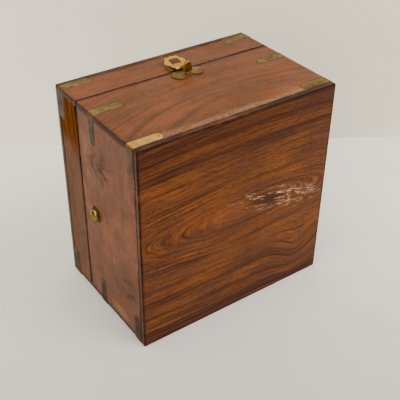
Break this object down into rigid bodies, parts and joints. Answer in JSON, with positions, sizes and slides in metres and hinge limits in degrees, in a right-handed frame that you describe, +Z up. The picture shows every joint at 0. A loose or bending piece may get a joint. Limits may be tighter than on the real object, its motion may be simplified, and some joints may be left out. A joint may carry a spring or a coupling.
{
  "type": "brass-bound wooden instrument case",
  "caption": "Hinged hardwood case with flush brass corner straps, side pivot studs for a gimbal ring, and a turn-button hasp with a scalloped flap.",
  "frame": {"origin": "centre of the footprint, on the surface the case stands on", "axes": "+X along the hinge, towards the right wall; +Y from the base's outer board to the lid's; +Z up, from the hinge side to the hasp side"},
  "size_m": [0.159, 0.1004, 0.163],
  "materials": {
    "panel_wood": "varnished",
    "wall_wood": "varnished",
    "strap_brass": "tarnished",
    "bright_brass": "polished"
  },
  "bodies": {
    "base": {"base_panel": "panel_wood", "base_top_wall": "wall_wood", "base_bottom_wall": "wall_wood", "base_left_wall": "wall_wood", "base_right_wall": "wall_wood", "base_strap_top_left_outer": "strap_brass", "base_strap_top_left_inner": "strap_brass", "base_strap_top_right_outer": "strap_brass", "base_strap_top_right_inner": "strap_brass", "base_strap_bottom_left_outer": "strap_brass", "base_strap_bottom_left_inner": "strap_brass", "base_strap_bottom_right_outer": "strap_brass", "base_strap_bottom_right_inner": "strap_brass", "base_strap_pins": "strap_brass", "left_pivot_stud": "bright_brass", "right_pivot_stud": "bright_brass", "left_rosette": "bright_brass", "right_rosette": "bright_brass", "left_pivot_nut": "bright_brass", "right_pivot_nut": "bright_brass", "left_hinge_base_leaf": "strap_brass", "right_hinge_base_leaf": "strap_brass", "left_hinge_pin": "strap_brass", "right_hinge_pin": "strap_brass", "base_hinge_screws": "bright_brass", "latch_plate": "bright_brass", "latch_plate_nails": "bright_brass"},
    "lid": {"lid_panel": "panel_wood", "lid_top_wall": "wall_wood", "lid_bottom_wall": "wall_wood", "lid_left_wall": "wall_wood", "lid_right_wall": "wall_wood", "lid_strap_top_left": "strap_brass", "lid_strap_top_right": "strap_brass", "lid_strap_bottom_left": "strap_brass", "lid_strap_bottom_right": "strap_brass", "lid_strap_pins": "strap_brass", "left_hinge_lid_leaf": "strap_brass", "right_hinge_lid_leaf": "strap_brass", "lid_hinge_screws": "bright_brass", "hasp_leaf": "bright_brass", "hasp_leaf_nails": "bright_brass", "hasp_pin": "bright_brass"},
    "flap": {"hasp_flap": "bright_brass"},
    "button": {"turn_button": "bright_brass"}
  },
  "joints": [
    {"name": "lid_hinge", "type": "hinge", "parent": "base", "child": "lid", "pos_m": [0, 0.0224, 0.0024], "axis": [-1, 0, 0], "range_deg": [0, 90]},
    {"name": "flap_hinge", "type": "hinge", "parent": "lid", "child": "flap", "pos_m": [0.0034, 0.0224, 0.1555], "axis": [1, 0, 0], "range_deg": [-4, 169]},
    {"name": "button_swivel", "type": "hinge", "parent": "base", "child": "button", "pos_m": [0.0034, 0.0152, 0.1548], "axis": [0, 0, 1], "range_deg": [0, 90]}
  ]
}
